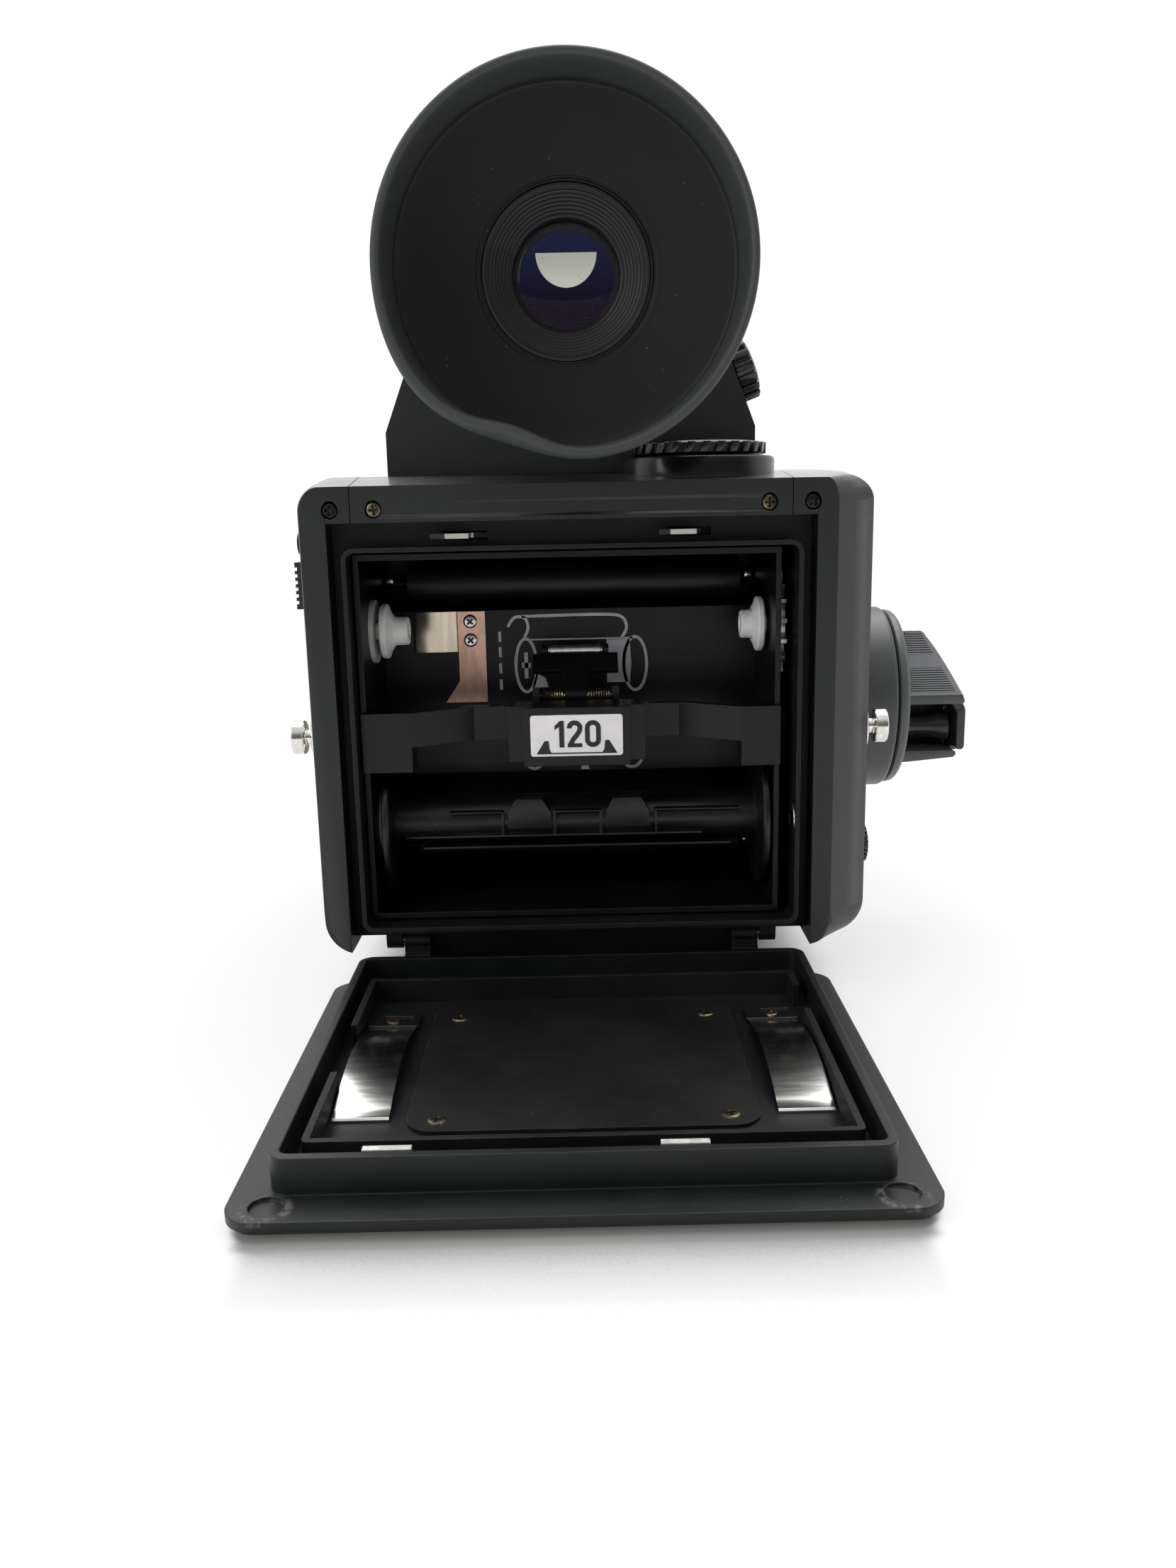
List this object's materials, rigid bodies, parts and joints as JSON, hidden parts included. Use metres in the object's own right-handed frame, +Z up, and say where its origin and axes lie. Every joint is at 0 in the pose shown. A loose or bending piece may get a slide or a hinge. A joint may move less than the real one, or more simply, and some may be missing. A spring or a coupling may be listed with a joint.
{
  "type": "medium format single lens reflex camera",
  "caption": "Box-shaped reflex film camera with its rear door folded down, a roll-film insert in the chamber, a prism finder with a round eyecup, a folding winding crank and a lens.",
  "frame": {"origin": "mouth of the tripod socket, in the middle of the flat base", "axes": "+X to the right as seen from behind, +Y out of the lens, +Z up"},
  "size_m": [0.1228, 0.2192, 0.1432],
  "materials": {
    "body_paint": "satin black enamel",
    "core_paint": "flat black paint",
    "lens_paint": "satin black",
    "dark_plastic": "matt black",
    "gloss_black": "glossy black",
    "control_black": "satin black",
    "grip_rubber": "smooth black rubber",
    "spring_steel": "brushed",
    "bright_chrome": "polished",
    "brass_screw": "worn brass",
    "plate_copper": "copper coloured, satin",
    "white_nylon": "satin white",
    "silvered": "polished",
    "optical_glass": "polished",
    "coated_glass": "polished, blue-violet coating",
    "label_paper": "printed, off-white",
    "coin_aluminium": "satin"
  },
  "bodies": {
    "camera_body": {"chassis": "core_paint", "left_side_cover": "body_paint", "right_side_cover": "body_paint", "top_cover": "body_paint", "base_plate": "core_paint", "battery_cover": "coin_aluminium", "lens_mount_ring": "bright_chrome", "shutter_unit": "dark_plastic", "focusing_screen": "optical_glass", "finder_housing": "body_paint", "pentaprism": "optical_glass", "eyepiece_barrel": "lens_paint", "ocular_lens": "coated_glass", "eyecup": "grip_rubber", "dial_base": "gloss_black", "strap_lugs": "bright_chrome", "crank_base": "control_black", "hinge_pins": "spring_steel", "rear_screws": "brass_screw", "lens_barrel": "lens_paint", "lens_elements": "optical_glass"},
    "rear_door": {"door_shell": "body_paint", "door_light_trap": "core_paint", "door_plate": "core_paint", "door_springs": "spring_steel", "door_catches": "bright_chrome", "door_screws": "brass_screw"},
    "door_latch": {"latch_bar": "spring_steel"},
    "back_release": {"back_release_slider": "control_black"},
    "side_button": {"left_button": "control_black"},
    "side_knob": {"right_knob": "control_black"},
    "mirror_assembly": {"mirror_frame": "spring_steel", "reflex_mirror": "silvered"},
    "shutter_speed_dial": {"speed_dial": "control_black"},
    "film_speed_knob": {"film_speed_dial": "control_black"},
    "winding_crank": {"crank_disc": "control_black", "crank_fold_pin": "spring_steel", "winding_gear": "spring_steel"},
    "folding_arm": {"crank_arm": "gloss_black"},
    "grip_roller": {"crank_roller": "gloss_black"},
    "film_insert": {"insert_frame": "dark_plastic", "insert_back_plate": "dark_plastic", "contact_plate": "plate_copper", "film_leaf": "spring_steel", "insert_pin_and_screws": "bright_chrome", "insert_bar": "gloss_black", "number_label": "label_paper", "hub_washers": "bright_chrome"},
    "driven_hub": {"takeup_drive_hub": "white_nylon", "takeup_gear": "spring_steel"},
    "idle_hub": {"takeup_free_hub": "white_nylon"},
    "supply_spool": {"film_spool": "dark_plastic"},
    "upper_guide": {"upper_roller": "dark_plastic"},
    "lower_guide": {"lower_roller": "dark_plastic"},
    "tension_arm": {"pressure_arm": "dark_plastic"},
    "tension_roller": {"arm_roller": "bright_chrome"},
    "release_button": {"shutter_release": "bright_chrome"},
    "lens_button": {"lens_release_button": "control_black"},
    "focusing": {"focus_ring": "grip_rubber"},
    "aperture": {"aperture_ring": "lens_paint"}
  },
  "joints": [
    {"name": "door_hinge", "type": "hinge", "parent": "camera_body", "child": "rear_door", "pos_m": [0, -0.0329, 0.0097], "axis": [-1, 0, 0], "range_deg": [0, 90]},
    {"name": "back_release_slide", "type": "slide", "parent": "camera_body", "child": "back_release", "axis": [0, 0, -1], "range_m": [0, 0.003], "stiffness_N_per_m": 200},
    {"name": "latch_slide", "type": "slide", "parent": "camera_body", "child": "door_latch", "axis": [1, 0, 0], "range_m": [0, 0.0022]},
    {"name": "side_button_press", "type": "slide", "parent": "camera_body", "child": "side_button", "axis": [1, 0, 0], "range_m": [0, 0.001], "stiffness_N_per_m": 300},
    {"name": "side_knob_turn", "type": "hinge", "parent": "camera_body", "child": "side_knob", "pos_m": [0.05, -0.0278, 0.0242], "axis": [1, 0, 0], "range_deg": [0, 90]},
    {"name": "mirror_flip", "type": "hinge", "parent": "camera_body", "child": "mirror_assembly", "pos_m": [0, 0.011, 0.069], "axis": [1, 0, 0], "range_deg": [0, 45]},
    {"name": "speed_dial_turn", "type": "hinge", "parent": "camera_body", "child": "shutter_speed_dial", "pos_m": [0.0215, -0.0245, 0.092], "axis": [0, 0, 1], "range_deg": [-150, 150]},
    {"name": "film_speed_turn", "type": "hinge", "parent": "camera_body", "child": "film_speed_knob", "pos_m": [0.02928, -0.0036, 0.1065], "axis": [0.9323, 0, 0.3616], "range_deg": [-150, 150]},
    {"name": "crank_turn", "type": "hinge", "parent": "camera_body", "child": "winding_crank", "pos_m": [0.058, -0.003, 0.0466], "axis": [1, 0, 0], "continuous": true},
    {"name": "crank_fold", "type": "hinge", "parent": "winding_crank", "child": "folding_arm", "pos_m": [0.0626, -0.003, 0.0598], "axis": [0, -1, 0], "range_deg": [0, 150]},
    {"name": "grip_roller_spin", "type": "hinge", "parent": "folding_arm", "child": "grip_roller", "pos_m": [0.066, -0.003, 0.0405], "axis": [1, 0, 0], "continuous": true},
    {"name": "insert_slide", "type": "slide", "parent": "camera_body", "child": "film_insert", "axis": [0, 1, 0], "range_m": [-0.085, 0]},
    {"name": "takeup_turn", "type": "hinge", "parent": "film_insert", "child": "driven_hub", "pos_m": [0.031, -0.0245, 0.06293], "axis": [1, 0, 0], "continuous": true},
    {"name": "takeup_idle_spin", "type": "hinge", "parent": "film_insert", "child": "idle_hub", "pos_m": [-0.031, -0.0245, 0.06293], "axis": [1, 0, 0], "continuous": true},
    {"name": "spool_spin", "type": "hinge", "parent": "film_insert", "child": "supply_spool", "pos_m": [-0.0004, -0.0245, 0.0292], "axis": [1, 0, 0], "continuous": true},
    {"name": "upper_roller_spin", "type": "hinge", "parent": "film_insert", "child": "upper_guide", "pos_m": [0, -0.0068, 0.07], "axis": [1, 0, 0], "continuous": true},
    {"name": "lower_roller_spin", "type": "hinge", "parent": "film_insert", "child": "lower_guide", "pos_m": [0, -0.0068, 0.0198], "axis": [1, 0, 0], "continuous": true},
    {"name": "tension_arm_turn", "type": "hinge", "parent": "film_insert", "child": "tension_arm", "pos_m": [0, -0.027, 0.0514], "axis": [1, 0, 0], "range_deg": [-6, 8], "stiffness_Nm_per_rad": 0.02},
    {"name": "tension_roller_spin", "type": "hinge", "parent": "tension_arm", "child": "tension_roller", "pos_m": [0, -0.01907, 0.05844], "axis": [1, 0, 0], "continuous": true},
    {"name": "shutter_release_press", "type": "slide", "parent": "camera_body", "child": "release_button", "axis": [0, -1, 0], "range_m": [0, 0.002], "stiffness_N_per_m": 300},
    {"name": "lens_release_press", "type": "slide", "parent": "camera_body", "child": "lens_button", "axis": [0, -1, 0], "range_m": [0, 0.0015], "stiffness_N_per_m": 300},
    {"name": "focus_turn", "type": "hinge", "parent": "camera_body", "child": "focusing", "pos_m": [0, 0.08, 0.0462], "axis": [0, 1, 0], "range_deg": [-135, 135]},
    {"name": "aperture_turn", "type": "hinge", "parent": "camera_body", "child": "aperture", "pos_m": [0, 0.067, 0.0462], "axis": [0, 1, 0], "range_deg": [-25, 25]}
  ],
  "couplings": [
    {"joint": "takeup_turn", "follows": "crank_turn", "ratio": -2},
    {"joint": "latch_slide", "follows": "back_release_slide", "ratio": 0.7333}
  ]
}
